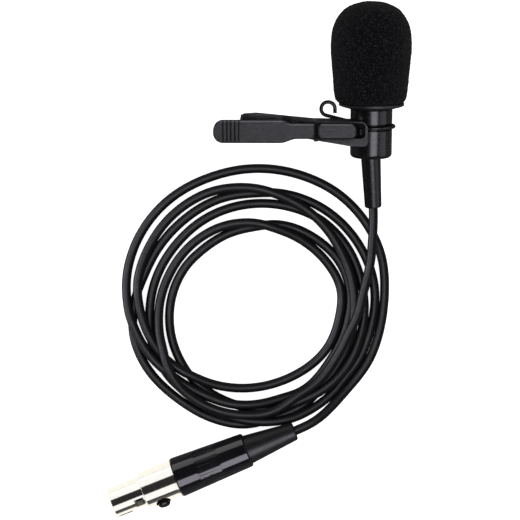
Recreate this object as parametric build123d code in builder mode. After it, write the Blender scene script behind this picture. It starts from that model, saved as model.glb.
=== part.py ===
from build123d import *
from math import radians, sin, cos, tan, pi
import os

os.makedirs("parts", exist_ok=True)

# ---------------------------------------------------------------- driving dimensions, mm
TILT = 9.0  # the head lies on its windscreen, so its axis rises towards the foam
AXIS_X, AXIS_Y, AXIS_Z = 16.2, -5.6, 8.1  # centre of the clip groove on the head's axis

BARREL_R = 5.6
BARREL_REAR, BARREL_SHOULDER, BARREL_FRONT = -8.4, 4.7, 14.0
NECK_R = 5.2  # front stretch of the barrel, under the windscreen
BORE_R, CAPSULE_SEAT_R = 4.1, 4.5
GROOVE_R, GROOVE_W = 4.75, 1.6
BOOT_HOLE_R = 2.0

FOAM_R, FOAM_TIP = 10.7, 33.3
SNAP_R, SNAP_TOP = 8.7, 6.2
SNAP_BORE = 5.25

BOOT_YAW = 3.5  # the boot leans a little to the right
BOOT_LEN, BOOT_R1, BOOT_R2 = 13.7, 2.65, 2.28
CORD_D = 2.5
CORD_R = CORD_D / 2

PIN_P, PIN_H, PIN_R = 15.0, 5.4, 0.6
CLIP_S = -0.32  # the lever's centre plane along the head's axis
LEVER_TOP, LEVER_LOW = 9.6, 6.6
JAW_S, JAW_HALF, NECK_HALF = -0.42, 2.95, 1.95
SLOT_HALF = 2.05
SADDLE_P, SADDLE_TOP = 1.4, 2.06  # right end and upper edge of the saddle
CORNER_R, LOW_CORNER_R = 2.0, 1.1  # its two rounded corners
SADDLE_R, SADDLE_FLOOR = 5.65, 6.7
CHEEK_TOP = 8.0

RING_R, RING_OFF, WIRE_R = 5.65, 0.35, 0.5
STUD_P = 3.15

CON_X, CON_Y, CON_Z = -36.6, -101.1, 5.55  # centre of the back shell's front plane
SHELL_L, SHELL_R1, SHELL_R2 = 21.1, 5.5, 4.72
NOSE_MID, NOSE_TIP = 9.3, 18.4
NOSE_R1, NOSE_R2, NOSE_WALL = 5.25, 4.2, 0.5
RELIEF_END, RELIEF_R1, RELIEF_R2 = 35.0, 4.0, 2.5
KEY_AZ, HOOK_AZ = 65.0, 30.0
BUTTON_Z, HOOK_Z = 5.1, 11.0

COIL_X, COIL_Y, COIL_H = -16.4, -54.2, 5.8

# ---------------------------------------------------------------- planes
# Head plane: x to the clip (p), y up from the axis (h), z forward along the axis (s).
mic = Plane(
    origin=(AXIS_X, AXIS_Y, AXIS_Z),
    x_dir=(-1, 0, 0),
    z_dir=(0, cos(radians(TILT)), sin(radians(TILT))),
)
mic_side = Plane(origin=mic.origin, x_dir=mic.x_dir, z_dir=-mic.y_dir)  # x is r or p, y is s
mic_axis = Axis(mic.origin, mic.z_dir)

# Connector plane: x sideways, y up, z forward out of the nose.
con_dir = Vector(-0.929, -0.370, 0).normalized()
con_cross = Vector(0.370, -0.929, 0).normalized()
con = Plane(origin=(CON_X, CON_Y, CON_Z), x_dir=con_cross, z_dir=con_dir)
con_side = Plane(origin=con.origin, x_dir=con.x_dir, z_dir=-con.y_dir)
con_axis = Axis(con.origin, con.z_dir)


def head_point(p, h, s):
    return mic.origin + mic.x_dir * p + mic.y_dir * h + mic.z_dir * s


def radial_plane(base, azimuth, along, out=0.0):
    """Plane facing outwards at an azimuth from the base plane's y towards its x."""
    a = radians(azimuth)
    normal = base.x_dir * sin(a) + base.y_dir * cos(a)
    centre = base.origin + base.z_dir * along + normal * out
    return Plane(origin=centre, x_dir=base.z_dir, z_dir=normal)


def save(node, label):
    node.part.label = label
    export_step(node.part, f"parts/{label}.step")
    return node


# ================================================================ microphone head
with BuildPart() as foam_windscreen:
    with BuildSketch(mic_side):
        with BuildLine():
            Polyline((6.35, SNAP_TOP), (8.6, SNAP_TOP), (9.1, 6.7))
            Spline(
                (9.1, 6.7),
                (9.55, 8.6),
                (10.06, 13.9),
                (10.5, 17.85),
                (FOAM_R, 21.75),
                (10.28, 25.7),
                (8.75, 29.3),
                (5.3, 32.2),
                (0, FOAM_TIP),
                tangents=((0.5, 1), (-1, 0)),
            )
            Polyline((0, FOAM_TIP), (0, 16.4), (5.5, 16.4), (5.5, 8.7), (6.35, 8.7), (6.35, SNAP_TOP))
        make_face()
    revolve(axis=mic_axis)
save(foam_windscreen, "foam_windscreen")

with BuildPart() as windscreen_snap_ring:
    with BuildSketch(mic_side):
        with BuildLine():
            Polyline(
                (SNAP_BORE, BARREL_SHOULDER),
                (5.8, BARREL_SHOULDER),
                (8.1, 5.35),
                (SNAP_R, 5.6),
                (SNAP_R, SNAP_TOP),
                (6.35, SNAP_TOP),
                (6.35, 8.6),
                (SNAP_BORE, 8.6),
                close=True,
            )
        make_face()
    revolve(axis=mic_axis)
save(windscreen_snap_ring, "windscreen_snap_ring")

with BuildPart() as barrel:
    with BuildSketch(mic_side):
        with BuildLine():
            Polyline(
                (BOOT_HOLE_R, -7.2),
                (BOOT_HOLE_R, BARREL_REAR),
                (4.5, BARREL_REAR),
            )
            RadiusArc((4.5, BARREL_REAR), (BARREL_R, -7.3), -1.1)
            Polyline(
                (BARREL_R, -7.3),
                (BARREL_R, -GROOVE_W / 2 - 0.15),
                (BARREL_R - 0.15, -GROOVE_W / 2),
                (GROOVE_R, -GROOVE_W / 2),
                (GROOVE_R, GROOVE_W / 2),
                (BARREL_R - 0.15, GROOVE_W / 2),
                (BARREL_R, GROOVE_W / 2 + 0.15),
                (BARREL_R, BARREL_SHOULDER - 0.2),
                (BARREL_R - 0.2, BARREL_SHOULDER),
                (NECK_R, BARREL_SHOULDER),
                (NECK_R, BARREL_FRONT),
                (CAPSULE_SEAT_R, BARREL_FRONT),
                (CAPSULE_SEAT_R, 8.0),
                (BORE_R, 8.0),
                (BORE_R, -7.2),
                (BOOT_HOLE_R, -7.2),
            )
        make_face()
    revolve(axis=mic_axis)
    # six rear sound slots behind the capsule
    for k in range(6):
        with BuildSketch(radial_plane(mic, 60 * k + 30, 6.9, 3.0)):
            SlotOverall(2.2, 0.9, rotation=90)
        extrude(amount=3.5, mode=Mode.SUBTRACT)
save(barrel, "barrel")

with BuildPart() as front_grille:
    with BuildSketch(mic_side):
        with BuildLine():
            Polyline(
                (0, 14.35),
                (3.8, 14.1),
                (3.8, 13.1),
                (CAPSULE_SEAT_R, 13.1),
                (CAPSULE_SEAT_R, BARREL_FRONT),
                (NECK_R, BARREL_FRONT),
                (NECK_R, 14.5),
                (4.7, 14.9),
                (0, 15.2),
                close=True,
            )
        make_face()
    revolve(axis=mic_axis)
    with BuildSketch(mic.offset(13.5)):
        Circle(0.42)
        with PolarLocations(1.4, 6):
            Circle(0.42)
        with PolarLocations(2.75, 12):
            Circle(0.42)
    extrude(amount=3, mode=Mode.SUBTRACT)
save(front_grille, "front_grille")

with BuildPart() as felt_disc:
    with BuildSketch(mic.offset(13.25)):
        Circle(3.75)
    extrude(amount=0.7)
save(felt_disc, "felt_disc")

with BuildPart() as capsule_can:
    with BuildSketch(mic_side):
        with BuildLine():
            Polyline(
                (3.9, 8.7),
                (4.45, 8.7),
                (4.45, 12.6),
                (4.1, 12.95),
                (0, 12.95),
                (0, 12.6),
                (4.1, 12.6),
                (4.1, 9.05),
                (3.9, 9.05),
                close=True,
            )
        make_face()
    revolve(axis=mic_axis)
    with BuildSketch(mic.offset(12.3)):
        with PolarLocations(1.5, 3):
            Circle(0.45)
    extrude(amount=1, mode=Mode.SUBTRACT)
save(capsule_can, "capsule_can")

with BuildPart() as capsule_gasket:
    with BuildSketch(mic.offset(8.02)):
        Circle(4.42)
        Circle(3.4, mode=Mode.SUBTRACT)
    extrude(amount=0.66)
save(capsule_gasket, "capsule_gasket")

with BuildPart() as capsule_diaphragm:
    with BuildSketch(mic.offset(11.9)):
        Circle(4.05)
        Circle(3.3, mode=Mode.SUBTRACT)
    extrude(amount=0.65)
    with BuildSketch(mic.offset(11.9)):
        Circle(3.4)
    extrude(amount=0.1)
save(capsule_diaphragm, "capsule_diaphragm")

with BuildPart() as capsule_back_plate:
    with BuildSketch(mic.offset(10.9)):
        Circle(4.0)
        with PolarLocations(2.2, 6):
            Circle(0.4, mode=Mode.SUBTRACT)
    extrude(amount=0.8)
save(capsule_back_plate, "capsule_back_plate")

with BuildPart() as capsule_board:
    with BuildSketch(mic.offset(9.15)):
        Circle(4.0)
    extrude(amount=0.6)
    with BuildSketch(mic.offset(9.75)):
        Rectangle(1.6, 1.2)
    extrude(amount=0.6)
    # three solder pads on the rear face
    with BuildSketch(mic.offset(8.95)):
        with PolarLocations(1.9, 3):
            Circle(0.55)
    extrude(amount=0.2)
save(capsule_board, "capsule_board")

# three thin wires from the cable's end to the pads
with BuildPart() as lead_wires:
    for k in range(3):
        a = radians(120 * k)
        start = head_point(0.62 * cos(a), 0.62 * sin(a), -2.95)
        knee = head_point(0.62 * cos(a), 0.62 * sin(a), 1.5)
        wide = head_point(1.9 * cos(a), 1.9 * sin(a), 5.5)
        end = head_point(1.9 * cos(a), 1.9 * sin(a), 8.93)
        with BuildLine() as wire_path:
            FilletPolyline(start, knee, wide, end, radius=2.5)
        with BuildSketch(Plane(origin=wire_path.line @ 0, z_dir=wire_path.line % 0)):
            Circle(0.3)
        sweep(path=wire_path.line)
save(lead_wires, "lead_wires")

with BuildPart() as cable_ferrule:
    with BuildSketch(mic.offset(-5.6)):
        Circle(1.95)
        Circle(CORD_R, mode=Mode.SUBTRACT)
    extrude(amount=2.0)
save(cable_ferrule, "cable_ferrule")

# The boot: flange and neck held in the barrel's rear wall, tapered tail leaning right.
boot_root = mic.origin + mic.z_dir * (BARREL_REAR - 0.2)
boot_dir = (Vector(sin(radians(BOOT_YAW)), 0, 0) - mic.z_dir * cos(radians(BOOT_YAW))).normalized()
boot = Plane(origin=boot_root, x_dir=(0, 0, 1), z_dir=boot_dir)
boot_side = Plane(origin=boot.origin, x_dir=boot.x_dir, z_dir=-boot.y_dir)
boot_end = boot.origin + boot.z_dir * (BOOT_LEN - 0.2)

with BuildPart() as boot_relief:
    with BuildSketch(mic.offset(-9.4)):
        Circle(BOOT_HOLE_R)
    extrude(amount=2.6)
    with BuildSketch(mic.offset(-7.18)):
        Circle(3.4)
    extrude(amount=1.3)
    with BuildSketch(boot_side):
        with BuildLine():
            Polyline(
                (0, 0),
                (BOOT_R1, 0),
                (BOOT_R2, BOOT_LEN - 0.5),
                (BOOT_R2 - 0.3, BOOT_LEN - 0.2),
                (0, BOOT_LEN - 0.2),
                close=True,
            )
        make_face()
    revolve(axis=Axis(boot.origin, boot.z_dir))
    with BuildSketch(boot.offset(-1.2)):
        Circle(CORD_R)
    extrude(amount=BOOT_LEN + 2, mode=Mode.SUBTRACT)
    with BuildSketch(mic.offset(-9.0)):
        Circle(CORD_R)
    extrude(amount=4, mode=Mode.SUBTRACT)
save(boot_relief, "boot_relief")

with BuildPart() as boot_cable_core:
    with BuildLine() as core_path:
        FilletPolyline(boot_end, boot_root, head_point(0, 0, -3.0), radius=12.0)
    with BuildSketch(Plane(origin=core_path.line @ 0, z_dir=core_path.line % 0)):
        Circle(CORD_R)
    sweep(path=core_path.line)
save(boot_cable_core, "boot_cable_core")

# ================================================================ tie clip
clip_plan_points = [
    (SADDLE_P + CORNER_R, SADDLE_TOP),
    (9.0, 2.1),
    (16.0, 2.3),
    (22.0, 2.95),
    (30.9, 4.05),
    (33.9, 3.95),
    (34.9, 3.6),
    (35.1, 2.4),
    (35.1, -0.6),
    (34.2, -1.5),
    (24.0, -2.0),
    (19.0, -2.5),
    (15.5, -2.85),
    (11.3, -3.5),
    (6.0, -4.4),
    (2.5, -4.5),
]
base_side_points = [
    (1.0, 3.0),
    (1.0, CHEEK_TOP),
    (12.6, CHEEK_TOP),
    (16.2, 6.9),
    (18.5, 5.0),
    (21.5, 3.6),
    (24.0, 3.3),
    (30.0, 4.3),
    (33.5, 4.9),
    (33.5, 6.55),
    (34.6, 6.55),
    (35.1, 6.0),
    (35.1, 4.9),
    (33.5, 4.0),
    (30.0, 3.0),
    (24.0, 1.7),
    (18.0, 0.9),
    (4.5, 0.9),
    (4.5, 3.0),
]
# channel for the lever, its floor follows the barrel
with BuildPart() as lever_channel:
    with BuildSketch(mic.offset(-6)):
        with BuildLine():
            Polyline(
                (1.0, 12),
                (1.0, 1.9),
                (16.6, 1.9),
                (18.0, 4.1),
                (19.6, 4.4),
                (19.6, 12),
                close=True,
            )
        make_face()
        Circle(SADDLE_FLOOR, mode=Mode.SUBTRACT)
    extrude(amount=12)
    with BuildSketch(mic_side):
        with Locations((SADDLE_P + 0.7 + 9.5, CLIP_S)):
            RectangleRounded(19.0, 2 * SLOT_HALF, 1.0)
    extrude(amount=14, both=True, mode=Mode.INTERSECT)

with BuildPart() as clip_base:
    with BuildSketch(mic.offset(-6)):
        with BuildLine():
            Polyline(*base_side_points, close=True)
        make_face()
    extrude(amount=12)
    with BuildSketch(mic_side):
        with BuildLine():
            Polyline(*clip_plan_points)
            RadiusArc((2.5, -4.5), (SADDLE_P, LOW_CORNER_R - 4.5), LOW_CORNER_R)
            Line((SADDLE_P, LOW_CORNER_R - 4.5), (SADDLE_P, SADDLE_TOP - CORNER_R))
            RadiusArc((SADDLE_P, SADDLE_TOP - CORNER_R), (SADDLE_P + CORNER_R, SADDLE_TOP), CORNER_R)
        make_face()
    extrude(amount=14, both=True, mode=Mode.INTERSECT)
    # saddle hollow that seats on the barrel
    with BuildSketch(mic.offset(-6)):
        Circle(SADDLE_R)
    extrude(amount=12, mode=Mode.SUBTRACT)
    add(lever_channel.part, mode=Mode.SUBTRACT)
    # ring groove in the saddle for the wire
    with BuildSketch(Plane(origin=head_point(-RING_OFF, 0, 0), x_dir=mic.x_dir, z_dir=-mic.y_dir)):
        with BuildLine():
            Polyline((5.0, -0.55), (6.2, -0.55), (6.2, 0.55), (5.0, 0.55), close=True)
        make_face()
    revolve(axis=Axis(head_point(-RING_OFF, 0, 0), mic.z_dir), mode=Mode.SUBTRACT)
    # pivot hole through both cheeks
    with BuildSketch(mic.offset(-6)):
        with Locations((PIN_P, PIN_H)):
            Circle(PIN_R)
    extrude(amount=12, mode=Mode.SUBTRACT)
    # oval seat of the wire stud
    with BuildSketch(Plane(origin=head_point(STUD_P, 4.9, -0.8), x_dir=mic.z_dir, z_dir=mic.y_dir)):
        SlotOverall(2.1, 1.1)
    extrude(amount=2.5, mode=Mode.SUBTRACT)
    # cross groove that makes two teeth of the jaw's lip
    with BuildSketch(mic.offset(-6)):
        with Locations((34.0, 6.6)):
            Rectangle(0.35, 0.5)
    extrude(amount=12, mode=Mode.SUBTRACT)
save(clip_base, "clip_base")

JAW_TIP, TIP_R = 42.15, 2.6
tip_p = JAW_TIP - TIP_R
lever_side_points = [
    (4.5, 7.9),
    (4.5, LEVER_TOP),
    (14.5, LEVER_TOP),
    (14.5, 7.6),
    (15.0, 7.0),
    (15.5, 7.6),
    (15.5, LEVER_TOP),
    (JAW_TIP, LEVER_TOP),
    (JAW_TIP, 7.4),
    (41.2, LEVER_LOW),
    (18.2, LEVER_LOW),
    (16.7, 5.4),
    (16.3, 4.2),
    (15.0, 3.7),
    (13.7, 4.2),
    (13.3, 5.4),
    (12.6, 6.9),
    (11.5, 7.9),
]
with BuildPart() as clip_lever:
    with BuildSketch(mic.offset(-6)):
        with BuildLine():
            Polyline(*lever_side_points, close=True)
        make_face()
    extrude(amount=12)
    with BuildSketch(mic_side):
        with BuildLine():
            Line((5.9, CLIP_S - NECK_HALF), (19.8, CLIP_S - NECK_HALF))
            Spline(
                (19.8, CLIP_S - NECK_HALF),
                (21.8, CLIP_S - NECK_HALF - 0.35),
                (24.6, JAW_S - JAW_HALF),
                tangents=((1, 0), (1, 0)),
            )
            Line((24.6, JAW_S - JAW_HALF), (tip_p, JAW_S - JAW_HALF))
            RadiusArc((tip_p, JAW_S - JAW_HALF), (JAW_TIP, JAW_S - JAW_HALF + TIP_R), -TIP_R)
            Line((JAW_TIP, JAW_S - JAW_HALF + TIP_R), (JAW_TIP, JAW_S + JAW_HALF - TIP_R))
            RadiusArc((JAW_TIP, JAW_S + JAW_HALF - TIP_R), (tip_p, JAW_S + JAW_HALF), -TIP_R)
            Line((tip_p, JAW_S + JAW_HALF), (24.6, JAW_S + JAW_HALF))
            Spline(
                (24.6, JAW_S + JAW_HALF),
                (22.9, JAW_S + 2.5),
                (21.3, CLIP_S + NECK_HALF),
                tangents=((-1, 0), (-1, 0)),
            )
            Line((21.3, CLIP_S + NECK_HALF), (5.9, CLIP_S + NECK_HALF))
            RadiusArc((5.9, CLIP_S + NECK_HALF), (4.5, CLIP_S + 0.48), -1.4)
            Line((4.5, CLIP_S + 0.48), (4.5, CLIP_S - 0.48))
            RadiusArc((4.5, CLIP_S - 0.48), (5.9, CLIP_S - NECK_HALF), -1.4)
        make_face()
    extrude(amount=14, both=True, mode=Mode.INTERSECT)
    # rounded left corners of the press pad
    for side in (-1, 1):
        with BuildSketch(Plane(origin=head_point(0, LEVER_TOP, 0), x_dir=mic.x_dir, z_dir=-mic.y_dir)):
            with Locations((14.5 - 0.6, CLIP_S + side * (NECK_HALF - 0.6))):
                Rectangle(1.2, 1.2)
            with Locations((14.5 - 1.2, CLIP_S + side * (NECK_HALF - 1.2))):
                Circle(1.2, mode=Mode.SUBTRACT)
        extrude(amount=2.3, mode=Mode.SUBTRACT)
    # soft edge all round the front face
    top_face = faces().filter_by(Plane(origin=mic.origin, z_dir=mic.y_dir)).sort_by(
        Axis(mic.origin, mic.y_dir)
    )
    chamfer([e for f in top_face[-2:] for e in f.edges()], 0.3)
    # fine cross grooves near the tip
    for k in range(5):
        with BuildSketch(mic.offset(-6)):
            with Locations((35.4 + 1.04 * k, LEVER_TOP)):
                Rectangle(0.42, 0.7)
        extrude(amount=12, mode=Mode.SUBTRACT)
    # teeth on the gripping face
    for k in range(3):
        with BuildSketch(mic.offset(-6)):
            with Locations((32.35 + 0.9 * k, LEVER_LOW)):
                Rectangle(0.35, 0.5)
        extrude(amount=12, mode=Mode.SUBTRACT)
    # pivot bore and the pocket for the torsion spring
    with BuildSketch(mic.offset(-6)):
        with Locations((PIN_P, PIN_H)):
            Circle(PIN_R + 0.05)
    extrude(amount=12, mode=Mode.SUBTRACT)
    with BuildSketch(mic.offset(CLIP_S - 0.9)):
        with Locations((PIN_P, PIN_H)):
            Circle(1.4)
        with BuildLine():
            Polyline(
                (10.0, 5.0),
                (10.0, 7.9),
                (12.2, 7.9),
                (13.4, 6.5),
                (15.0, 5.4),
                (15.0, 3.0),
                (12.0, 3.0),
                close=True,
            )
        make_face()
    extrude(amount=1.8, mode=Mode.SUBTRACT)
save(clip_lever, "clip_lever")

with BuildPart() as pivot_pin:
    with BuildSketch(mic.offset(-3.4)):
        with Locations((PIN_P, PIN_H)):
            Circle(PIN_R)
    extrude(amount=6.15)
save(pivot_pin, "pivot_pin")

# Torsion spring: a close coil on the pin with one leg under the pad and one on the floor.
SPRING_R, SPRING_WIRE = 1.0, 0.16
spring_plane = Plane(origin=head_point(PIN_P, PIN_H, CLIP_S - 0.68), x_dir=-mic.x_dir, z_dir=mic.z_dir)
spring_coil = spring_plane * Helix(pitch=0.34, height=1.36, radius=SPRING_R)
with BuildPart() as torsion_spring:
    with BuildSketch(Plane(origin=spring_coil @ 0, z_dir=spring_coil % 0)):
        Circle(SPRING_WIRE)
    sweep(path=spring_coil, is_frenet=True)
    for s_leg, p_end, h_end in ((CLIP_S - 0.68, 10.9, 7.66), (CLIP_S + 0.68, 10.9, 2.1)):
        foot = head_point(PIN_P - SPRING_R + 0.16, PIN_H - 0.02, s_leg)
        away = head_point(p_end, h_end, s_leg) - foot
        with BuildSketch(Plane(origin=foot, z_dir=away)):
            Circle(SPRING_WIRE)
        extrude(amount=away.length)
save(torsion_spring, "torsion_spring")

# Wire ring: from the stud over the barrel, round the right side, out at the bottom into the loop.
LOOP_R = 1.75
ring_plane = Plane(origin=head_point(-RING_OFF, 0, 0), x_dir=mic.x_dir, z_dir=mic.z_dir)
tail_corners = [
    (-RING_OFF, -RING_R, 0),
    (3.4, -RING_R, 0),
    (13.3, -5.4, 2.6),
    (13.2, -5.25, 5.85),
    (9.6, -5.15, 5.85),
    (9.5, -5.15, 2.9),
]
with BuildPart() as wire_ring:
    with BuildLine() as ring_path:
        with BuildLine(ring_plane):
            CenterArc((0, 0), RING_R, 62.5, 207.5)
        FilletPolyline(*[head_point(*q) for q in tail_corners], radius=[6.0, LOOP_R, LOOP_R, LOOP_R])
    with BuildSketch(Plane(origin=ring_path.line @ 0, z_dir=ring_path.line % 0)):
        Circle(WIRE_R)
    sweep(path=ring_path.line, is_frenet=False)
save(wire_ring, "wire_ring")

with BuildPart() as wire_stud:
    with BuildSketch(Plane(origin=head_point(STUD_P, 4.95, -0.8), x_dir=mic.z_dir, z_dir=mic.y_dir)):
        SlotOverall(2.1, 1.1)
    extrude(amount=1.4)
    fillet(edges().sort_by(Axis(mic.origin, mic.y_dir))[-4:], 0.3)
save(wire_stud, "wire_stud")

# ================================================================ connector
with BuildPart() as back_shell:
    with BuildSketch(con_side):
        with BuildLine():
            Polyline(
                (4.35, -0.4),
                (SHELL_R1 - 0.2, -0.4),
                (SHELL_R1, -0.7),
                (SHELL_R2, -SHELL_L + 0.3),
                (SHELL_R2 - 0.3, -SHELL_L),
                (3.3, -SHELL_L),
                (3.3, -17.6),
                (4.1, -16.8),
                (4.1, -6.4),
                (4.35, -6.2),
                close=True,
            )
        make_face()
    revolve(axis=con_axis)
    # short grip grooves round the middle
    for k in range(18):
        with BuildSketch(radial_plane(con, 20 * k + 10, -10.0, 4.99)):
            SlotOverall(6.6, 0.75)
        extrude(amount=1.0, mode=Mode.SUBTRACT)
save(back_shell, "back_shell")

with BuildPart() as collar_ring:
    with BuildSketch(con.offset(-0.35)):
        Circle(SHELL_R1 - 0.05)
        Circle(4.4, mode=Mode.SUBTRACT)
    extrude(amount=0.45)
save(collar_ring, "collar_ring")

with BuildPart() as nose_shell:
    with BuildSketch(con_side):
        with BuildLine():
            Polyline(
                (3.7, -6.0),
                (4.3, -6.0),
                (4.3, 0.12),
                (NOSE_R1, 0.12),
                (NOSE_R1, NOSE_MID - 0.25),
                (NOSE_R1 - 0.25, NOSE_MID),
                (NOSE_R2, NOSE_MID),
                (NOSE_R2, NOSE_TIP - 0.25),
                (NOSE_R2 - 0.25, NOSE_TIP),
                (3.7, NOSE_TIP),
                close=True,
            )
        make_face()
    revolve(axis=con_axis)
    # square window for the hook
    with BuildSketch(radial_plane(con, HOOK_AZ, HOOK_Z, 2.5)):
        Rectangle(2.6, 2.4)
    extrude(amount=3, mode=Mode.SUBTRACT)
    # key slot, open at the tip
    with BuildSketch(radial_plane(con, KEY_AZ, 16.4, 3.0)):
        Rectangle(5.1, 0.9)
    extrude(amount=3, mode=Mode.SUBTRACT)
    # button hole with room for the button's slanting travel
    with BuildSketch(radial_plane(con, KEY_AZ, BUTTON_Z, 2.5)):
        SlotOverall(4.9, 4.1, rotation=90)
    extrude(amount=4, mode=Mode.SUBTRACT)
save(nose_shell, "nose_shell")

with BuildPart() as contact_insert:
    with BuildSketch(con.offset(-2.5)):
        Circle(3.66)
    extrude(amount=20.4)
    # side pocket in which the latch moves
    for az in range(8, 91, 6):
        with BuildSketch(radial_plane(con, az, 5.6, 2.55)):
            Rectangle(15.0, 0.9)
        extrude(amount=2, mode=Mode.SUBTRACT)
    # key groove in the front stretch
    with BuildSketch(radial_plane(con, KEY_AZ, 16.0, 3.1)):
        Rectangle(6.0, 0.9)
    extrude(amount=2, mode=Mode.SUBTRACT)
    with BuildSketch(con.offset(-3)):
        with PolarLocations(1.7, 4):
            Circle(0.5)
    extrude(amount=22, mode=Mode.SUBTRACT)
save(contact_insert, "contact_insert")

# four sockets: tube open at the front, cup at the back
with BuildPart() as socket_contacts:
    with BuildSketch(con.offset(-4.6)):
        with PolarLocations(1.7, 4):
            Circle(0.5)
    extrude(amount=22.2)
    with BuildSketch(con.offset(11.6)):
        with PolarLocations(1.7, 4):
            Circle(0.3)
    extrude(amount=6.2, mode=Mode.SUBTRACT)
    with BuildSketch(con.offset(-4.8)):
        with PolarLocations(1.7, 4):
            Circle(0.32)
    extrude(amount=1.8, mode=Mode.SUBTRACT)
save(socket_contacts, "socket_contacts")

# Latch leaf: a curved strip under the sleeve, its hook stands in the window.
with BuildPart() as latch_leaf:
    with BuildSketch(con.offset(1.4)):
        Circle(3.58)
        Circle(3.25, mode=Mode.SUBTRACT)
        with BuildLine():
            Polyline((0, 0), (8 * sin(radians(20)), 8 * cos(radians(20))), (8, 8),
                     (8 * sin(radians(78)), 8 * cos(radians(78))), close=True)
        make_face(mode=Mode.INTERSECT)
    extrude(amount=11.2)
    with BuildSketch(radial_plane(con, HOOK_AZ, HOOK_Z, 3.35)):
        Rectangle(1.7, 1.5)
    extrude(amount=1.0)
save(latch_leaf, "latch_leaf")

with BuildPart() as latch_button:
    with BuildSketch(radial_plane(con, KEY_AZ, BUTTON_Z, 3.6)):
        Circle(1.3)
    extrude(amount=1.2)
    with BuildSketch(radial_plane(con, KEY_AZ, BUTTON_Z, 4.5)):
        Circle(1.7)
    extrude(amount=1.8)
    fillet(edges().sort_by(Axis(con.origin, radial_plane(con, KEY_AZ, 0).z_dir))[-1:], 0.85)
save(latch_button, "latch_button")

# Latch spring: a bowed strip between the insert's pocket floor and the leaf.
latch_mid = radial_plane(con, 47.0, 5.0, 0)
with BuildPart() as latch_spring:
    with BuildSketch(Plane(origin=latch_mid.origin, x_dir=latch_mid.x_dir, z_dir=-latch_mid.y_dir)):
        with BuildLine():
            ThreePointArc((-3.0, 2.62), (0, 3.08), (3.0, 2.62))
            Line((3.0, 2.62), (3.0, 2.74))
            ThreePointArc((3.0, 2.74), (0, 3.2), (-3.0, 2.74))
            Line((-3.0, 2.74), (-3.0, 2.62))
        make_face()
    extrude(amount=0.5, both=True)
save(latch_spring, "latch_spring")

with BuildPart() as cable_clamp:
    with BuildSketch(con.offset(-15.5)):
        Circle(3.6)
        Circle(CORD_R, mode=Mode.SUBTRACT)
        Rectangle(8, 0.5, mode=Mode.SUBTRACT)
    extrude(amount=5)
    with BuildSketch(con.offset(-12.6)):
        Circle(4.0)
        Circle(3.2, mode=Mode.SUBTRACT)
    extrude(amount=2.1)
save(cable_clamp, "cable_clamp")

with BuildPart() as flex_relief:
    with BuildSketch(con_side):
        with BuildLine():
            Polyline(
                (CORD_R, -16.0),
                (3.2, -16.0),
                (3.2, -SHELL_L - 0.05),
                (RELIEF_R1, -SHELL_L - 0.05),
                (RELIEF_R2, -RELIEF_END + 0.3),
                (RELIEF_R2 - 0.3, -RELIEF_END),
                (CORD_R, -RELIEF_END),
                close=True,
            )
        make_face()
    revolve(axis=con_axis)
save(flex_relief, "flex_relief")

with BuildPart() as plug_cable_core:
    with BuildSketch(con.offset(-RELIEF_END)):
        Circle(CORD_R)
    extrude(amount=RELIEF_END - 8.5)
save(plug_cable_core, "plug_cable_core")

# ================================================================ cable
# Outer shape of the loose coil: a flat ring whose two outlines follow the outermost and
# innermost turns, with short stubs where the cable enters and leaves.
outer_turns = [
    (0, 38.3),
    (30, 39.7),
    (60, 39.8),
    (90, 37.7),
    (112, 36.6),
    (125, 36.2),
    (136, 34.2),
    (148, 33.4),
    (165, 33.0),
    (180, 32.8),
    (210, 33.7),
    (240, 34.4),
    (270, 34.8),
    (300, 36.8),
    (330, 37.6),
]
inner_turns = [
    (0, 20.0),
    (30, 21.0),
    (60, 22.6),
    (90, 24.2),
    (120, 23.0),
    (150, 21.4),
    (180, 21.4),
    (210, 22.8),
    (240, 22.2),
    (270, 20.4),
    (300, 19.0),
    (330, 18.7),
]


def outline(turns):
    """Points of a closed outline from (azimuth, radius) pairs, clockwise from +Y."""
    points = []
    for azimuth, r in turns:
        a = radians(azimuth)
        points.append((COIL_X + r * sin(a), COIL_Y + r * cos(a)))
    return points


def run_radii(route):
    """One tangent radius per bend: 0.45 of the shorter run over tan(half the turn)."""
    radii = []
    for before, at, after in zip(route, route[1:], route[2:]):
        one, two = Vector(*at) - Vector(*before), Vector(*after) - Vector(*at)
        turn = radians(one.get_angle(two))
        radii.append(0.45 * min(one.length, two.length) / tan(turn / 2))
    return radii


# Lead: straight out of the boot and onto the coil.
lead_start = boot_end
lead_end = boot_end + boot_dir * 3.4
# Tail: out of the coil's last turn and up into the flex relief.
relief_end = con.origin - con.z_dir * RELIEF_END
tail_route = [
    tuple(relief_end),
    tuple(relief_end - con.z_dir * 3.8),
    (3.4, -84.2, 4.5),
    (6.8, -81.0, 3.1),
]
tail_last = (Vector(*tail_route[-1]) - Vector(*tail_route[-2])).normalized()

with BuildPart() as cable_coil:
    with BuildSketch(Plane.XY):
        with BuildLine():
            Spline(*outline(outer_turns), periodic=True)
        make_face()
        with BuildLine():
            Spline(*outline(inner_turns), periodic=True)
        make_face(mode=Mode.SUBTRACT)
    extrude(amount=COIL_H)
    fillet(edges().group_by(Axis.Z)[-1], 1.4)
    with BuildSketch(Plane(origin=lead_end, z_dir=boot_dir)):
        Circle(CORD_R)
    extrude(amount=4.5)
    with BuildSketch(Plane(origin=tail_route[-1], z_dir=tail_last)):
        Circle(CORD_R)
    extrude(amount=6.0)
save(cable_coil, "cable_coil")

with BuildPart() as cable_lead:
    with BuildSketch(Plane(origin=lead_start, z_dir=boot_dir)):
        Circle(CORD_R)
    extrude(amount=(lead_end - lead_start).length)
save(cable_lead, "cable_lead")

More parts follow.
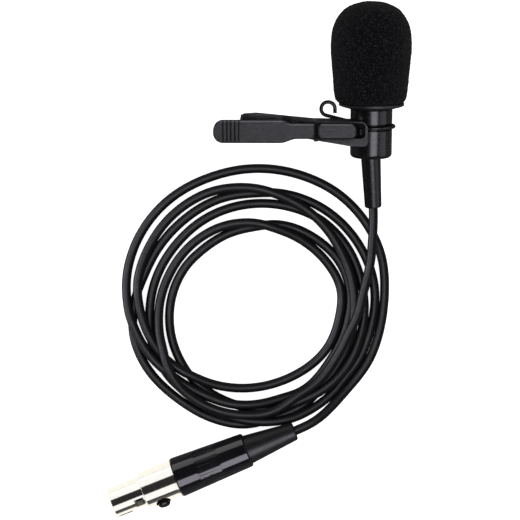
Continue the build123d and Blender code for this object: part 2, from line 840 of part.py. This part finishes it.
tail_radii = run_radii(tail_route)
with BuildPart() as cable_tail:
    with BuildLine() as tail_path:
        FilletPolyline(*tail_route, radius=tail_radii)
    with BuildSketch(Plane(origin=tail_path.line @ 0, z_dir=tail_path.line % 0)):
        Circle(CORD_R)
    sweep(path=tail_path.line)
save(cable_tail, "cable_tail")

section = pi * CORD_R**2
print("tail radii mm:", [round(r, 1) for r in tail_radii], "least allowed", 3 * CORD_D)
tail_length = sum(edge.length for edge in tail_path.line.edges())
lead_length = (lead_end - lead_start).length
for name, tube, length in (("tail", cable_tail, tail_length), ("lead", cable_lead, lead_length)):
    filled = tube.part.volume / (section * length)
    print(name, "length", round(length, 2), "volume / (section x length)", round(filled, 4))
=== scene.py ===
from math import cos, pi, radians, sin, tau

import bpy
import numpy as np
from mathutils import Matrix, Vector, noise


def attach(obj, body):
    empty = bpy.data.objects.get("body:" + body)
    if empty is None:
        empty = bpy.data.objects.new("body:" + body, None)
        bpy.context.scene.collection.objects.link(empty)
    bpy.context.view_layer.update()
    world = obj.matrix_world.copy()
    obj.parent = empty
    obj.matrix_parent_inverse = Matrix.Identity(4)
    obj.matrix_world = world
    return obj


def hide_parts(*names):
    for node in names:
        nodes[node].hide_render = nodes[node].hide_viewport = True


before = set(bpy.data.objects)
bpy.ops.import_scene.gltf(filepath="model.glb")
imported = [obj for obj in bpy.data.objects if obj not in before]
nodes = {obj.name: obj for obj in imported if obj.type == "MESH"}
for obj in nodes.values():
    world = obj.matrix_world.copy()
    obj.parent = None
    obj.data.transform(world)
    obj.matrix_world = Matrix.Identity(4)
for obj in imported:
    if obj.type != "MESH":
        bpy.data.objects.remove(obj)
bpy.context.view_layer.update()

MM = 0.001

# ---------------------------------------------------------------- driving dimensions, metres
HEAD_TILT = radians(9.0)
head_axis = Vector((0, cos(HEAD_TILT), sin(HEAD_TILT)))
head_up = Vector((0, -sin(HEAD_TILT), cos(HEAD_TILT)))
head_at = Vector((0.0162, -0.0056, 0.0081))  # centre of the clip groove
plug_axis = Vector((-0.929, -0.370, 0)).normalized()

CORD_D = 0.0025
COIL_X, COIL_Y = -0.01634, -0.05417  # the coil's centre

# ---------------------------------------------------------------- camera
CAMERA_AT = (-0.0136, -0.0200, 0.450)
CAMERA_TILT = radians(2.79)
SENSOR_WIDTH, LENS = 36, 113.9  # in millimetres, as a camera gives them
NEAREST_SEEN = 0.01


def make_camera():
    data = bpy.data.cameras.new("camera")
    data.sensor_width = SENSOR_WIDTH
    data.lens = LENS
    data.clip_start = NEAREST_SEEN
    camera = bpy.data.objects.new("camera", data)
    camera.location = CAMERA_AT
    camera.rotation_euler = (-CAMERA_TILT, 0, 0)
    bpy.context.collection.objects.link(camera)
    bpy.context.scene.camera = camera


make_camera()

# ---------------------------------------------------------------- cable
# Straight out of the boot, and at the far end up into the connector's flex relief.
boot_end = (0.01702, -0.02740, 0.00465)
lead_route = [boot_end, (0.01723, -0.03075, 0.00412)]
relief_end = (-0.00408, -0.08815, 0.00555)
tail_route = [
    (0.0068, -0.0810, 0.0031),
    (0.0034, -0.0842, 0.0045),
    (-0.00055, -0.08674, 0.00555),
    relief_end,
]
# The loose coil, one list for each time round: azimuth clockwise from +Y in degrees, radius from
# the coil's centre in mm, and the layer the cable starts on there before it settles (0 on the
# table, 1 over one other turn, 2 over two). Radii were read off the photograph in pixels and
# scaled to mm. Layers were judged, and guessed where the photograph hides which is on top.
# The first and last lists cover only part of a turn.
turns = [
    [
        (66, 36.1, 1.5), (75, 33.1, 1.6), (85, 30.5, 1.8), (95, 29.1, 2.0), (105, 27.9, 2.0),
        (120, 27.4, 1.9), (140, 27.9, 1.5), (150, 28.1, 1.5), (160, 29.0, 1.5), (170, 29.9, 1.2),
        (180, 30.3, 1.2), (195, 30.0, 1.3), (210, 29.6, 1.9), (220, 29.2, 2.1), (230, 28.4, 2.1),
        (240, 27.3, 2.0), (250, 26.2, 1.2), (260, 25.3, 0.4), (270, 24.7, 0), (290, 23.6, 0),
        (320, 22.9, 0), (345, 22.7, 0.6),
    ],
    [
        (0, 22.4, 1.0), (12, 22.3, 1.1), (25, 22.3, 0.9), (40, 22.8, 0.1), (60, 24.0, 0),
        (80, 25.5, 0), (95, 25.9, 0), (110, 25.3, 0), (130, 23.8, 0), (150, 22.8, 0),
        (170, 22.6, 0), (190, 23.1, 0.1), (205, 23.9, 0.7), (220, 25.1, 1.1), (235, 26.8, 1.1),
        (250, 28.3, 1.1), (262, 29.4, 1.0), (280, 30.9, 1.1), (295, 31.5, 1.1), (320, 32.4, 1.0),
        (345, 32.6, 1.0),
    ],
    [
        (0, 31.8, 1.1), (20, 30.7, 1.1), (40, 29.8, 1.1), (60, 28.7, 1.0), (75, 28.3, 1.1),
        (90, 27.9, 1.1), (105, 27.8, 1.1), (120, 28.5, 0.8), (135, 29.4, 0), (150, 30.5, 0),
        (165, 31.4, 0), (180, 32.0, 0), (200, 32.3, 0), (220, 32.5, 0), (240, 33.1, 0),
        (255, 33.0, 0), (270, 31.8, 0), (285, 30.3, 0), (300, 29.6, 0), (320, 29.4, 0),
        (345, 30.2, 0),
    ],
    [
        (0, 30.7, 0), (20, 32.0, 0), (40, 33.2, 0), (60, 34.0, 0), (80, 34.4, 0),
        (100, 33.9, 0), (120, 33.5, 0), (140, 33.2, 0), (155, 32.8, 0.5), (170, 32.2, 1.1),
        (185, 31.6, 1.1), (200, 30.9, 0.5), (215, 29.9, 0), (230, 29.4, 0), (245, 28.8, 0),
        (262, 27.7, 0), (280, 26.9, 0), (310, 26.1, 0), (335, 26.6, 0),
    ],
    [
        (0, 27.6, 0), (20, 28.8, 0), (40, 30.2, 0), (60, 30.9, 0), (80, 31.1, 0),
        (100, 31.4, 0), (120, 31.0, 0.2), (135, 30.5, 1.0), (150, 29.8, 1.1), (163, 29.0, 0.5),
        (180, 28.0, 0), (200, 26.8, 0), (220, 25.4, 0), (240, 23.8, 0), (260, 22.4, 0),
        (280, 21.3, 0), (300, 20.5, 0), (320, 19.9, 0), (345, 20.5, 0),
    ],
    [
        (0, 21.3, 0), (12, 22.4, 0), (25, 23.8, 0), (45, 25.5, 0), (65, 27.3, 0), (80, 27.9, 0),
        (100, 27.7, 0), (120, 27.6, 0), (140, 27.7, 0), (155, 27.8, 0.2), (170, 27.7, 1.0),
        (190, 27.5, 1.1), (205, 27.4, 0.8), (220, 28.1, 1.0), (232, 29.2, 1.1), (245, 30.6, 1.0),
        (258, 31.9, 1.1), (270, 33.2, 1.0), (282, 34.4, 0.3), (300, 35.5, 0), (320, 36.2, 0),
        (345, 36.6, 0),
    ],
    [
        (0, 37.2, 0), (20, 38.0, 0), (40, 38.8, 0), (55, 38.8, 0), (68, 38.4, 0),
        (85, 36.9, 0), (100, 35.8, 0), (115, 35.3, 0), (130, 35.2, 0.3),
    ],
]


def smooth_between(x, y, at):
    """Cubic through the key values, with no corners at them."""
    slope = np.gradient(y, x)
    i = np.clip(np.searchsorted(x, at, side="right") - 1, 0, len(x) - 2)
    h = x[i + 1] - x[i]
    t = (at - x[i]) / h
    rise = y[i] * (1 + 2 * t) * (1 - t) ** 2 + y[i + 1] * t * t * (3 - 2 * t)
    return rise + h * t * (1 - t) * (slope[i] * (1 - t) - slope[i + 1] * t)


LINE_STEP = 0.5  # degrees between points of the fine line
SPACING = 1.2 * MM  # between the points that settle


def coil_points():
    """The turns as evenly spaced points, each on its layer."""
    keys = np.array([(a + 360 * k, r, level) for k, turn in enumerate(turns) for a, r, level in turn])
    at = np.arange(keys[0, 0], keys[-1, 0], LINE_STEP)
    r = smooth_between(keys[:, 0], keys[:, 1], at) * MM
    level = np.interp(at, keys[:, 0], keys[:, 2])
    turn = np.radians(at)
    fine = np.stack([COIL_X + r * np.sin(turn), COIL_Y + r * np.cos(turn), CORD_D * (0.5 + level)], 1)
    run = np.r_[0, np.cumsum(np.linalg.norm(np.diff(fine, axis=0), axis=1))]
    stops = np.linspace(0, run[-1], int(round(run[-1] / SPACING)) + 1)
    return np.stack([np.interp(stops, run, fine[:, k]) for k in range(3)], 1)


ROUNDS = 600
SINK, LAST_SINK = 0.02 * MM, 0.005 * MM  # the drop in a round, and in the last quarter of them
PULL_BACK = 0.03  # the part of a point's sideways shift that a round takes back
EVEN_OUT = 0.8  # how far a sideways shift follows its neighbours
GIVE_WAY, STRIDE = 0.3, 1.6  # a point moves by the mean of its overlaps times both of these
SAME_STRETCH = 8  # points closer than this along the cable don't push each other


def settle(line):
    """Sinks the cable a little each round, and parts the turns that overlap. It stops after ROUNDS."""
    rest, p = line.copy(), line.copy()
    held = np.zeros(len(p), bool)
    held[:2] = held[-2:] = True
    free = (~held).astype(float)
    i, j = np.triu_indices(len(p), SAME_STRETCH)
    near = np.hypot(*(p[i, :2] - p[j, :2]).T) < 2 * CORD_D
    i, j = i[near], j[near]
    for k in range(ROUNDS):
        p[:, 2] -= (SINK if k < 0.75 * ROUNDS else LAST_SINK) * free
        shift = p[:, :2] - rest[:, :2]
        shift *= 1 - PULL_BACK * free[:, None]
        even_shift = shift.copy()
        even_shift[1:-1] = 0.25 * shift[:-2] + 0.5 * shift[1:-1] + 0.25 * shift[2:]
        p[:, :2] = rest[:, :2] + shift + EVEN_OUT * (even_shift - shift) * free[:, None]
        for _ in range(3):
            z = p[:, 2].copy()
            z[1:-1] = 0.25 * z[:-2] + 0.5 * z[1:-1] + 0.25 * z[2:]
            p[:, 2] = np.where(held, p[:, 2], z)
        for _ in range(2):
            gap = p[i] - p[j]
            apart = np.linalg.norm(gap, axis=1) + 1e-12
            hit = apart < CORD_D
            push = gap[hit] * (GIVE_WAY * (CORD_D - apart[hit]) / apart[hit])[:, None]
            moved, count = np.zeros_like(p), np.zeros(len(p))
            np.add.at(moved, i[hit], push)
            np.add.at(moved, j[hit], -push)
            np.add.at(count, i[hit], 1)
            np.add.at(count, j[hit], 1)
            p += STRIDE * moved / np.maximum(count, 1)[:, None] * free[:, None]
            p[:, 2] = np.maximum(p[:, 2], CORD_D / 2)
    return p


def make_cable():
    coil = settle(coil_points())[::2]  # every second point carries the spline
    points = np.vstack([lead_route, coil, tail_route])
    curve = bpy.data.curves.new("cable", "CURVE")
    curve.dimensions = "3D"
    curve.bevel_depth = 1.0  # each point's own radius sets the thickness
    curve.bevel_resolution = 5
    curve.resolution_u = 3
    spline = curve.splines.new("NURBS")
    spline.points.add(len(points) - 1)
    for point, co in zip(spline.points, points):
        point.co = (*co, 1)
        point.radius = CORD_D / 2
    spline.order_u = 3
    spline.use_endpoint_u = True
    cable = bpy.data.objects.new("cable", curve)
    bpy.context.collection.objects.link(cable)
    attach(cable, "microphone")
    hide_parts("cable_lead", "cable_coil", "cable_tail")
    return cable


cable = make_cable()


# ---------------------------------------------------------------- material helpers
def new_material(name, colour, roughness, **sockets):
    """A Principled material. Sockets that stay the same all over are set on the shader itself."""
    mat = bpy.data.materials.new(name)
    mat.use_nodes = True
    bsdf = mat.node_tree.nodes["Principled BSDF"]
    bsdf.inputs["Base Color"].default_value = (*colour, 1)
    bsdf.inputs["Roughness"].default_value = roughness
    for socket, value in sockets.items():
        bsdf.inputs[socket.replace("_", " ")].default_value = value
    return mat


def add(mat, kind, **settings):
    node = mat.node_tree.nodes.new("ShaderNode" + kind)
    for key, value in settings.items():
        setattr(node, key, value)
    return node


def link(mat, source, target):
    mat.node_tree.links.new(source, target)


def place(mat):
    """Position in the object's own coordinates, in metres, so a pattern moves with its piece."""
    return add(mat, "TexCoord").outputs["Object"]


def along(mat, axis):
    """Distance along an axis, in metres."""
    dot = add(mat, "VectorMath", operation="DOT_PRODUCT")
    link(mat, place(mat), dot.inputs[0])
    dot.inputs[1].default_value = axis
    return dot.outputs["Value"]


def grain(mat, size, detail=3.0, roughness=0.55):
    """Noise with features of about the given size in metres."""
    node = add(mat, "TexNoise")
    node.inputs["Scale"].default_value = 1 / size
    node.inputs["Detail"].default_value = detail
    node.inputs["Roughness"].default_value = roughness
    link(mat, place(mat), node.inputs["Vector"])
    return node.outputs["Fac"]


def rings(mat, axis, pitch, detail=2.0):
    """Noise that changes only along an axis, as a lathe tool leaves it."""
    node = add(mat, "TexNoise", noise_dimensions="1D")
    node.inputs["Scale"].default_value = 1 / pitch
    node.inputs["Detail"].default_value = detail
    link(mat, along(mat, axis), node.inputs["W"])
    return node.outputs["Fac"]


def cells(mat, size, feature="F1"):
    node = add(mat, "TexVoronoi", feature=feature)
    node.inputs["Scale"].default_value = 1 / size
    link(mat, place(mat), node.inputs["Vector"])
    return node.outputs["Distance"]


def spread(mat, source, low, high, to_low, to_high):
    node = add(mat, "MapRange")
    node.inputs["From Min"].default_value = low
    node.inputs["From Max"].default_value = high
    node.inputs["To Min"].default_value = to_low
    node.inputs["To Max"].default_value = to_high
    link(mat, source, node.inputs["Value"])
    return node.outputs["Result"]


def tint(mat, source, *stops):
    """Colour by a value; each stop is (value, colour)."""
    node = add(mat, "ValToRGB")
    ramp = node.color_ramp
    while len(ramp.elements) < len(stops):
        ramp.elements.new(0.5)
    for element, (at, colour) in zip(ramp.elements, stops):
        element.position = at
        element.color = (*colour, 1)
    link(mat, source, node.inputs["Fac"])
    return node.outputs["Color"]


def set_colour(mat, source):
    link(mat, source, mat.node_tree.nodes["Principled BSDF"].inputs["Base Color"])


def set_roughness(mat, source):
    link(mat, source, mat.node_tree.nodes["Principled BSDF"].inputs["Roughness"])


def raise_by(mat, *layers, edge=0.0):
    """Bump layers, each (height, depth in metres), over edges that are rounded by the edge radius."""
    normal = None
    if edge:
        bevel = add(mat, "Bevel", samples=4)
        bevel.inputs["Radius"].default_value = edge
        normal = bevel.outputs["Normal"]
    for height, depth in layers:
        node = add(mat, "Bump")
        node.inputs["Strength"].default_value = 1
        node.inputs["Distance"].default_value = depth
        link(mat, height, node.inputs["Height"])
        if normal:
            link(mat, normal, node.inputs["Normal"])
        normal = node.outputs["Normal"]
    link(mat, normal, mat.node_tree.nodes["Principled BSDF"].inputs["Normal"])


def shade(dark, light):
    """A grey pair as two colours, slightly violet."""
    return [(g, 0.95 * g, 1.25 * g) for g in (dark, light)]


# ---------------------------------------------------------------- materials
def foam_material():
    mat = new_material("foam", (0.006, 0.006, 0.007), 1.0, Specular_IOR_Level=0.10, Sheen_Weight=0.03)
    pore = cells(mat, 0.42 * MM)
    strut = cells(mat, 0.30 * MM, "DISTANCE_TO_EDGE")
    # painted shade: the colour is darkest at each pore's centre, where the bump sinks the pits, and
    # lightest on the struts between them
    set_colour(mat, tint(mat, pore, (0.15, (0.001, 0.001, 0.0012)), (0.5, (0.0022, 0.0022, 0.003)),
                         (0.9, (0.016, 0.0155, 0.019))))
    raise_by(mat, (pore, 0.22 * MM), (strut, 0.10 * MM), (grain(mat, 0.12 * MM), 0.05 * MM))
    return mat


def matt_in_crevices(mat, source, reach, more):
    """Roughness that grows where something closes the surface in within reach, as dust leaves it."""
    openness = add(mat, "AmbientOcclusion", samples=8)
    openness.inputs["Distance"].default_value = reach
    total = add(mat, "Math", operation="ADD")
    link(mat, source, total.inputs[0])
    link(mat, spread(mat, openness.outputs["AO"], 0.35, 0.85, more, 0.0), total.inputs[1])
    return total.outputs["Value"]


def plastic_material(name, dark, light, roughness, texture=0.16 * MM, depth=0.012 * MM, dust=0.0):
    mat = new_material(name, (dark, dark, dark), roughness)
    lo, hi = shade(dark, light)
    set_colour(mat, tint(mat, grain(mat, 2.5 * MM, 4), (0.3, lo), (0.7, hi)))
    uneven = spread(mat, grain(mat, 1.1 * MM, 5), 0.3, 0.7, roughness - 0.05, roughness + 0.06)
    set_roughness(mat, matt_in_crevices(mat, uneven, 3 * MM, dust) if dust else uneven)
    raise_by(mat, (grain(mat, texture, 2), depth), edge=0.09 * MM)
    return mat


def lacquer_material(name, axis, dark, light, roughness, ring_depth=0.003 * MM, coat=0.3):
    mat = new_material(name, (dark, dark, dark), roughness, Coat_Weight=coat, Coat_Roughness=0.06)
    lo, hi = shade(dark, light)
    set_colour(mat, tint(mat, grain(mat, 1.8 * MM, 5), (0.35, lo), (0.7, hi)))
    set_roughness(mat, spread(mat, grain(mat, 0.7 * MM, 4), 0.3, 0.7, roughness - 0.04, roughness + 0.05))
    raise_by(mat, (rings(mat, axis, 0.25 * MM), ring_depth), (grain(mat, 0.35 * MM, 3), 0.002 * MM),
             edge=0.12 * MM)
    return mat


def metal_material(name, colour, roughness, axis=None, worn=0.85, ring_depth=0.002 * MM):
    mat = new_material(name, colour, roughness, Metallic=1.0)
    dull = tuple(c * worn for c in colour)
    set_colour(mat, tint(mat, grain(mat, 1.5 * MM, 5), (0.35, dull), (0.62, colour)))
    set_roughness(mat, spread(mat, grain(mat, 0.5 * MM, 5), 0.3, 0.7, roughness * 0.8, roughness * 1.3))
    if axis is None:
        raise_by(mat, (grain(mat, 0.2 * MM, 3), 0.002 * MM))
    else:
        raise_by(mat, (rings(mat, axis, 0.12 * MM, 4), ring_depth), (grain(mat, 0.3 * MM, 3), 0.0004 * MM),
                 edge=0.10 * MM)
    return mat


def rubber_material(name, dark, light, roughness):
    mat = new_material(name, (dark, dark, dark), roughness)
    lo, hi = shade(dark, light)
    set_colour(mat, tint(mat, grain(mat, 3 * MM, 4), (0.3, lo), (0.7, hi)))
    set_roughness(mat, spread(mat, grain(mat, 2 * MM, 5), 0.3, 0.7, roughness - 0.06, roughness + 0.07))
    raise_by(mat, (grain(mat, 0.12 * MM, 3), 0.006 * MM), (grain(mat, 0.9 * MM, 2), 0.012 * MM))
    return mat


def felt_material():
    mat = new_material("felt", (0.03, 0.03, 0.03), 1.0, Sheen_Weight=0.5)
    set_colour(mat, tint(mat, grain(mat, 0.3 * MM, 6), (0.3, (0.015,) * 3), (0.7, (0.06,) * 3)))
    raise_by(mat, (grain(mat, 0.09 * MM, 6), 0.06 * MM))
    return mat


def board_material():
    mat = new_material("board", (0.03, 0.20, 0.08), 0.45)
    set_colour(mat, tint(mat, cells(mat, 0.9 * MM), (0.2, (0.02, 0.15, 0.06)), (0.6, (0.05, 0.28, 0.12))))
    raise_by(mat, (cells(mat, 0.35 * MM), 0.01 * MM))
    return mat


NICKEL = (0.86, 0.845, 0.80)
BLACK_NICKEL = (0.075, 0.073, 0.075)
GOLD = (0.86, 0.66, 0.32)
STEEL = (0.60, 0.60, 0.61)

foam = foam_material()
jacket = rubber_material("cable_jacket", 0.002, 0.004, 0.42)
boot = rubber_material("boot_rubber", 0.003, 0.006, 0.26)
relief = rubber_material("relief_rubber", 0.004, 0.007, 0.38)
clip_plastic = plastic_material("clip_plastic", 0.003, 0.006, 0.38, 0.30 * MM, 0.06 * MM, 0.55)
snap_plastic = plastic_material("snap_ring_plastic", 0.008, 0.014, 0.40)
barrel_lacquer = lacquer_material("barrel_lacquer", head_axis, 0.002, 0.004, 0.26)
grille_lacquer = lacquer_material("grille_lacquer", head_axis, 0.012, 0.018, 0.5)
shell_lacquer = lacquer_material("shell_lacquer", plug_axis, 0.004, 0.006, 0.12, 0.0012 * MM, 0.5)
nickel = metal_material("nickel", NICKEL, 0.10, plug_axis, 0.95, 0.0015 * MM)
dark_wire = metal_material("dark_wire", BLACK_NICKEL, 0.28)
stud_metal = metal_material("stud_metal", (0.022, 0.021, 0.024), 0.45)
steel = metal_material("steel", STEEL, 0.30)
dull_steel = metal_material("dull_steel", (0.28, 0.26, 0.23), 0.30)
can_metal = metal_material("can_metal", (0.75, 0.75, 0.77), 0.25, head_axis)
brass = metal_material("brass", (0.78, 0.62, 0.32), 0.28, head_axis)
gold = metal_material("gold", GOLD, 0.18, plug_axis)
insert_plastic = plastic_material("insert_plastic", 0.016, 0.022, 0.5)
button_plastic = plastic_material("button_plastic", 0.004, 0.007, 0.14, 0.6 * MM, 0.002 * MM)
wire_plastic = plastic_material("wire_plastic", 0.10, 0.14, 0.35)
finishes = {
    "windscreen_snap_ring": snap_plastic,
    "barrel": barrel_lacquer,
    "front_grille": grille_lacquer,
    "felt_disc": felt_material(),
    "capsule_can": can_metal,
    "capsule_gasket": boot,
    "capsule_diaphragm": gold,
    "capsule_back_plate": brass,
    "capsule_board": board_material(),
    "lead_wires": wire_plastic,
    "cable_ferrule": brass,
    "boot_relief": boot,
    "boot_cable_core": jacket,
    "clip_base": clip_plastic,
    "clip_lever": clip_plastic,
    "pivot_pin": steel,
    "torsion_spring": steel,
    "wire_ring": dark_wire,
    "wire_stud": stud_metal,
    "back_shell": shell_lacquer,
    "collar_ring": nickel,
    "nose_shell": nickel,
    "contact_insert": insert_plastic,
    "socket_contacts": gold,
    "latch_leaf": dull_steel,
    "latch_button": button_plastic,
    "latch_spring": steel,
    "cable_clamp": insert_plastic,
    "flex_relief": relief,
    "plug_cable_core": jacket,
}


def paint(obj, mat):
    obj.data.materials.clear()
    obj.data.materials.append(mat)


for node_name, finish in finishes.items():
    paint(nodes[node_name], finish)
paint(cable, jacket)


# ---------------------------------------------------------------- foam windscreen
FOAM_OFF_CENTRE = 0.3 * MM  # the foam sits a little to the clip's side
FOAM_ROWS, FOAM_AROUND = 150, 280  # rings of the outer skin, and points in each ring
CELL_SIZE, GROOVE_DEPTH = 0.55 * MM, 0.16 * MM
LUMP_SIZE, LUMP_DEPTH = 2.2 * MM, 0.05 * MM
OFF_TABLE = 0.02 * MM  # the lowest that the skin reaches, so it lies flat where it rests


def foam_outline():
    """Closed profile as (radius, distance along the head's axis) in mm, outside first."""
    outside = [
        (8.80, 6.25), (9.40, 6.9), (9.88, 8.6), (10.15, 11.2), (10.36, 13.9), (10.58, 16.0),
        (10.75, 17.9), (10.88, 19.8), (10.92, 21.8), (10.80, 23.8), (10.50, 25.7), (9.90, 27.6),
        (8.95, 29.3), (7.40, 31.05), (5.40, 32.25), (2.90, 33.0), (0.0, 33.3),
    ]
    inside = [(0.0, 16.5), (5.55, 16.5), (5.55, 8.75), (6.38, 8.75), (6.38, 6.25)]
    return outside, inside


def make_foam():
    outside, inside = foam_outline()
    keys = np.array(outside)
    run = np.r_[0, np.cumsum(np.linalg.norm(np.diff(keys, axis=0), axis=1))]
    at = np.linspace(0, run[-1], FOAM_ROWS)
    rows = np.stack([smooth_between(run, keys[:, k], at) for k in (0, 1)], 1)
    rows[-1, 0] = 0
    rows = np.vstack([rows, inside])
    side = Vector((-1, 0, 0))
    verts, faces, index = [], [], []
    for k, (r, s) in enumerate(rows):
        middle = head_at + head_axis * s * MM
        if k < FOAM_ROWS:
            middle += side * FOAM_OFF_CENTRE
        if r < 1e-6:
            verts.append(middle)
            index.append([len(verts) - 1] * FOAM_AROUND)
            continue
        index.append(list(range(len(verts), len(verts) + FOAM_AROUND)))
        for n in range(FOAM_AROUND):
            a = tau * n / FOAM_AROUND
            out = side * cos(a) + head_up * sin(a)
            verts.append(middle + out * r * MM)
    for k in range(len(rows)):
        after = index[(k + 1) % len(rows)]
        for n in range(FOAM_AROUND):
            m = (n + 1) % FOAM_AROUND
            quad = [index[k][n], index[k][m], after[m], after[n]]
            face = list(dict.fromkeys(quad))
            if len(face) > 2:
                faces.append(face)
    mesh = bpy.data.meshes.new("foam_skin")
    mesh.from_pydata([tuple(v) for v in verts], [], faces)
    mesh.validate()
    # a pebbled skin: it sinks along the borders between random cells and stays high inside them
    normals = [v.normal.copy() for v in mesh.vertices]
    last = max(index[FOAM_ROWS - 1])
    for v, normal in zip(mesh.vertices, normals):
        if v.index > last:
            continue
        near, _ = noise.voronoi(v.co / CELL_SIZE)
        from_border = min(1.0, near[1] - near[0])
        lump = noise.noise(v.co / LUMP_SIZE)
        v.co -= normal * (GROOVE_DEPTH * (1 - from_border) + LUMP_DEPTH * (1 + lump))
        v.co.z = max(v.co.z, OFF_TABLE)
    mesh.shade_smooth()
    obj = bpy.data.objects.new("foam_skin", mesh)
    bpy.context.collection.objects.link(obj)
    paint(obj, foam)
    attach(obj, "windscreen")
    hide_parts("foam_windscreen")


make_foam()


# ---------------------------------------------------------------- floor and light
FLOOR_HALF = 1.5
FLOOR_DROP = 0.02 * MM  # keeps the floor just under whatever touches the table
FLOOR_IN_GLOSS = (0.13, 0.13, 0.135)
FLOOR_GLOW = 0.80
ROOM_LOW, ROOM_HIGH = 0.16, 0.02  # grey of the room in reflections, at the horizon and overhead
ROOM_DARK_FROM = 0.45  # sine of the elevation above which the room is at its darkest


def make_floor():
    """White to the camera, which sees it glow like a backdrop, and dark grey in reflections."""
    mesh = bpy.data.meshes.new("floor")
    corners = [(x * FLOOR_HALF, y * FLOOR_HALF, 0) for x, y in ((-1, -1), (1, -1), (1, 1), (-1, 1))]
    mesh.from_pydata(corners, [], [(0, 1, 2, 3)])
    floor = bpy.data.objects.new("floor", mesh)
    floor.location.z = -FLOOR_DROP
    bpy.context.collection.objects.link(floor)
    mat = new_material("floor", (0.94, 0.94, 0.94), 0.85, Specular_IOR_Level=0.2)
    paper = tint(mat, grain(mat, 40 * MM, 2), (0.3, (0.935,) * 3), (0.7, (0.95,) * 3))
    path = add(mat, "LightPath")
    in_gloss = add(mat, "Mix", data_type="RGBA")
    in_gloss.inputs["B"].default_value = (*FLOOR_IN_GLOSS, 1)
    link(mat, path.outputs["Is Glossy Ray"], in_gloss.inputs["Factor"])
    link(mat, paper, in_gloss.inputs["A"])
    set_colour(mat, in_gloss.outputs["Result"])
    shader = mat.node_tree.nodes["Principled BSDF"]
    shader.inputs["Emission Color"].default_value = (1, 1, 1, 1)
    glow = spread(mat, path.outputs["Is Camera Ray"], 0, 1, 0.0, FLOOR_GLOW)
    link(mat, glow, shader.inputs["Emission Strength"])
    paint(floor, mat)


def softbox(name, at, aim, size, brightness, shines_on, colour=(1, 1, 1)):
    """A rectangle of even light facing a point. Only the named parts reflect it."""
    data = bpy.data.lights.new(name, "AREA")
    data.shape = "RECTANGLE"
    data.size, data.size_y = size
    data.energy = brightness * pi * size[0] * size[1]
    data.color = colour
    lamp = bpy.data.objects.new(name, data)
    lamp.location = at
    lamp.rotation_euler = (Vector(aim) - Vector(at)).to_track_quat("-Z", "Y").to_euler()
    lamp.visible_diffuse = False
    lamp.visible_camera = False
    bpy.context.collection.objects.link(lamp)
    group = bpy.data.collections.new(name + "_lit")
    for obj in shines_on:
        group.objects.link(obj)
    lamp.light_linking.receiver_collection = group


def make_world():
    """White all round for the soft light. In reflections, a room that is dim low down and dark above."""
    world = bpy.data.worlds.new("studio")
    world.use_nodes = True
    tree = world.node_tree
    back = tree.nodes["Background"]
    path = tree.nodes.new("ShaderNodeLightPath")
    where = tree.nodes.new("ShaderNodeTexCoord")
    split = tree.nodes.new("ShaderNodeSeparateXYZ")
    height = tree.nodes.new("ShaderNodeValToRGB")
    height.color_ramp.elements[0].position = 0.0
    height.color_ramp.elements[0].color = (*[ROOM_LOW] * 3, 1)
    height.color_ramp.elements[1].position = ROOM_DARK_FROM
    height.color_ramp.elements[1].color = (*[ROOM_HIGH] * 3, 1)
    room = tree.nodes.new("ShaderNodeMix")
    room.data_type = "RGBA"
    room.inputs["A"].default_value = (1, 1, 1, 1)
    tree.links.new(where.outputs["Generated"], split.inputs[0])
    tree.links.new(split.outputs["Z"], height.inputs["Fac"])
    tree.links.new(path.outputs["Is Glossy Ray"], room.inputs["Factor"])
    tree.links.new(height.outputs["Color"], room.inputs["B"])
    tree.links.new(room.outputs["Result"], back.inputs["Color"])
    back.inputs["Strength"].default_value = 1.0
    bpy.context.scene.world = world


make_floor()
make_world()
head_parts = [nodes[n] for n in ("barrel", "boot_relief", "windscreen_snap_ring", "clip_base", "clip_lever",
                                 "wire_ring", "wire_stud")]
clip_parts = [nodes[n] for n in ("clip_base", "clip_lever")]
nickel_parts = [nodes[n] for n in ("nose_shell", "collar_ring", "latch_leaf")]
plug_parts = [nodes[n] for n in ("back_shell", "flex_relief", "latch_button")]
connector = (-0.040, -0.102, 0.005)
coil_centre = (COIL_X, COIL_Y, 0.003)
head = (0.010, -0.008, 0.010)
LILAC = (0.93, 0.90, 1.0)
CREAM = (1.0, 0.97, 0.90)
softbox("shell_key", (0.055, -0.341, 0.434), connector, (0.70, 0.34), 3.6, plug_parts, LILAC)
softbox("shell_back", (-0.283, 0.157, 0.119), (-0.161, -0.150, 0.005), (0.40, 0.24), 1.1, plug_parts)
softbox("over_head", (0.16, -0.20, 0.65), head, (0.52, 0.26), 3.9, head_parts, LILAC)
softbox("head_right", (0.55, -0.05, 0.25), head, (0.50, 0.40), 0.8, head_parts, LILAC)
softbox("clip_back", (0.0, 0.47, 0.17), head, (0.50, 0.20), 6.0, clip_parts, LILAC)
softbox("clip_left", (-0.45, 0.0, 0.25), head, (0.30, 0.20), 5.0, clip_parts, LILAC)
softbox("over_cable", (-0.08, -0.09, 0.62), coil_centre, (0.46, 0.46), 2.3, [cable], LILAC)
softbox("cable_left", (-0.50, 0.02, 0.30), coil_centre, (0.50, 0.50), 2.0, [cable], LILAC)
softbox("cable_low", (-0.50, 0.00, 0.09), coil_centre, (0.60, 0.17), 2.6, [cable], LILAC)
softbox("nickel_back", (-0.153, 0.182, 0.175), connector, (0.80, 0.39), 1.15, nickel_parts)
softbox("nickel_front", (0.041, -0.307, 0.277), connector, (0.80, 0.27), 1.15, nickel_parts)
# a glowing patch of table under the plug, facing straight up
softbox("nickel_floor", (-0.045, -0.105, 0.0002), (-0.045, -0.105, 1.0), (0.40, 0.40), 1.05,
        nickel_parts, CREAM)
bpy.context.scene.view_settings.view_transform = "Standard"
